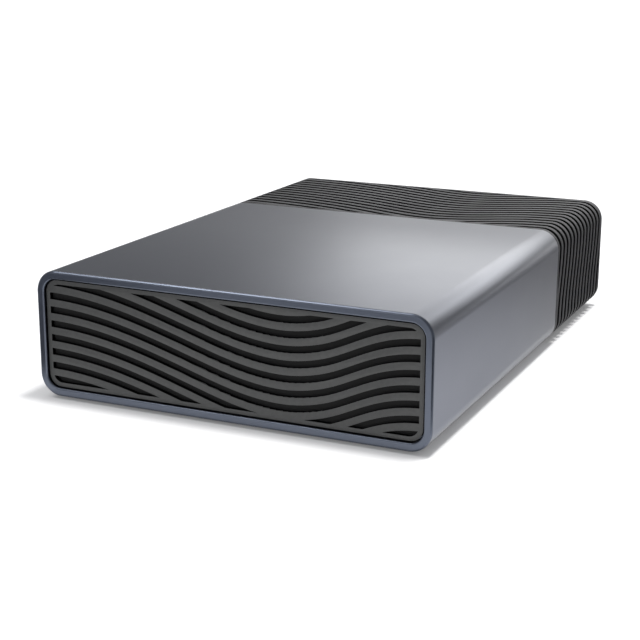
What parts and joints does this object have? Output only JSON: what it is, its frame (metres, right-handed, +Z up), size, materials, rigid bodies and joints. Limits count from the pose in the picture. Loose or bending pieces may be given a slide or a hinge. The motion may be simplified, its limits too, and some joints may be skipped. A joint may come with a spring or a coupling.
{
  "type": "external hard drive",
  "caption": "Desktop hard drive in an aluminium sleeve, with a wavy slotted front grille and a ribbed rear shroud; platters, arm and latch move inside.",
  "frame": {"origin": "middle of the footprint at the bottom of the feet", "axes": "+Z up, -Y the slotted front, +Y the ribbed rear with the sockets, +X to the right seen from the front"},
  "size_m": [0.12, 0.172, 0.0378],
  "materials": {
    "sleeve_aluminium": "satin anodised extrusion",
    "anodised_rim": "fine bead-blasted, blue-grey anodised",
    "grille_black": "fine moulded texture",
    "dust_screen": "woven black mesh",
    "shroud_plastic": "satin moulded ribs",
    "panel_plastic": "fine spark-eroded texture",
    "zinc_sheet": "zinc-plated sheet",
    "foot_rubber": "matte moulded rubber",
    "carrier_plastic": "moulded",
    "grommet_rubber": "soft",
    "zinc_screw": "zinc plated",
    "black_screw": "black oxide",
    "circuit_board": "solder mask",
    "black_nylon": "moulded nylon",
    "chip_resin": "moulded resin",
    "can_aluminium": "drawn can",
    "nickel_shell": "nickel plated",
    "clear_pipe": "clear moulded light pipe",
    "lamp_resin": "pale resin",
    "cast_aluminium": "die cast",
    "stainless_cover": "stamped sheet",
    "gasket_rubber": "foam rubber",
    "filter_cloth": "felted filter",
    "machined_steel": "turned",
    "copper_winding": "enamelled copper wire",
    "machined_aluminium": "machined",
    "magnet_nickel": "nickel plated",
    "platter_mirror": "polished",
    "yoke_nickel": "nickel plated steel",
    "ramp_resin": "low-wear resin",
    "amber_film": "polyimide film",
    "foam_grey": "open foam"
  },
  "bodies": {
    "root": {"outer_sleeve": "sleeve_aluminium", "front_bezel": "anodised_rim", "front_grille": "grille_black", "grille_dust_screen": "dust_screen", "rear_shroud": "shroud_plastic", "rear_panel": "panel_plastic", "lock_plate": "zinc_sheet", "rubber_feet": "foot_rubber", "drive_carrier": "carrier_plastic", "vibration_grommets": "grommet_rubber", "drive_mount_screws": "zinc_screw", "top_shield": "zinc_sheet", "case_screws": "black_screw", "bridge_board": "circuit_board", "bridge_board_screws": "zinc_screw", "bridge_receptacle": "black_nylon", "bridge_chip": "chip_resin", "bridge_capacitors": "can_aluminium", "usb_port_shell": "nickel_shell", "usb_port_tongue": "black_nylon", "power_jack_body": "black_nylon", "power_jack_pin": "nickel_shell", "status_light_pipe": "clear_pipe", "status_lamp": "lamp_resin", "drive_base": "cast_aluminium", "drive_cover": "stainless_cover", "cover_gasket": "gasket_rubber", "cover_screws": "zinc_screw", "breather_filter": "filter_cloth", "recirculation_filter": "filter_cloth", "spindle_shaft": "machined_steel", "spindle_stator": "copper_winding", "pivot_shaft": "machined_steel", "lower_yoke": "yoke_nickel", "upper_yoke": "yoke_nickel", "yoke_magnets": "magnet_nickel", "crash_stops": "gasket_rubber", "load_ramp": "ramp_resin", "latch_pin": "machined_steel", "flexible_lead": "amber_film", "lead_connector": "black_nylon", "drive_circuit_board": "circuit_board", "drive_board_screws": "zinc_screw", "drive_board_chips": "chip_resin", "drive_board_foam": "foam_grey", "drive_plug": "black_nylon"},
    "platter_stack": {"spindle_hub": "machined_aluminium", "rotor_magnet": "magnet_nickel", "platter_1": "platter_mirror", "platter_2": "platter_mirror", "platter_3": "platter_mirror", "platter_spacers": "machined_aluminium", "platter_clamp": "machined_aluminium", "platter_clamp_screws": "zinc_screw"},
    "actuator": {"actuator_arm_block": "machined_aluminium", "pivot_bearing": "machined_steel", "voice_coil": "copper_winding", "head_suspensions": "stainless_cover", "head_sliders": "chip_resin"},
    "latch": {"actuator_latch": "ramp_resin"}
  },
  "joints": [
    {"name": "spindle_spin", "type": "hinge", "parent": "root", "child": "platter_stack", "pos_m": [0, -0.027, 0.0155], "axis": [0, 0, 1], "continuous": true},
    {"name": "arm_swing", "type": "hinge", "parent": "root", "child": "actuator", "pos_m": [0.022, 0.0245, 0.0184], "axis": [0, 0, 1], "range_deg": [0, 33.48]},
    {"name": "latch_swing", "type": "hinge", "parent": "root", "child": "latch", "pos_m": [0.03834, 0.00977, 0.0184], "axis": [0, 0, -1], "range_deg": [0, 12]}
  ]
}
